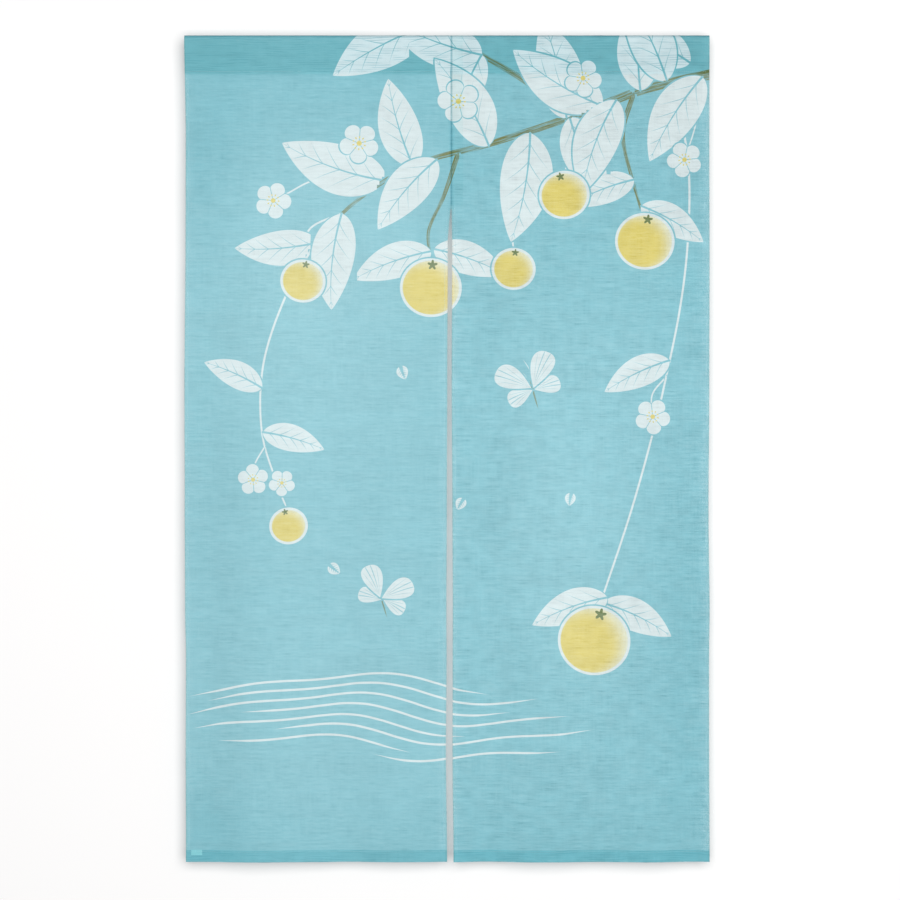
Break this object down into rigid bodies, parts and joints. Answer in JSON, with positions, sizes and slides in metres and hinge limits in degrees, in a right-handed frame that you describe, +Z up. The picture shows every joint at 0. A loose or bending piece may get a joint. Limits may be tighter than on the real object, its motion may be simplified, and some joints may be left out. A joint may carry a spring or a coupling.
{
  "type": "noren curtain",
  "caption": "Split doorway curtain of thin printed cloth: panels sewn side by side at the top, a slit between them below, and a rod pocket along the top.",
  "frame": {"origin": "middle of the curtain's width, on the crest of the top fold over the rod pocket", "axes": "+Z up the curtain, +X along the top edge to the right as seen from the face, the printed face looks along -Y"},
  "size_m": [0.9526, 0.0172, 1.5],
  "materials": {
    "cloth": "matt plain-weave slub cloth, slightly sheer, with a painted-look print",
    "label": "white woven tape, blank"
  },
  "bodies": {
    "root": {"left_panel": "cloth", "right_panel": "cloth", "hem_label": "label"}
  },
  "joints": []
}
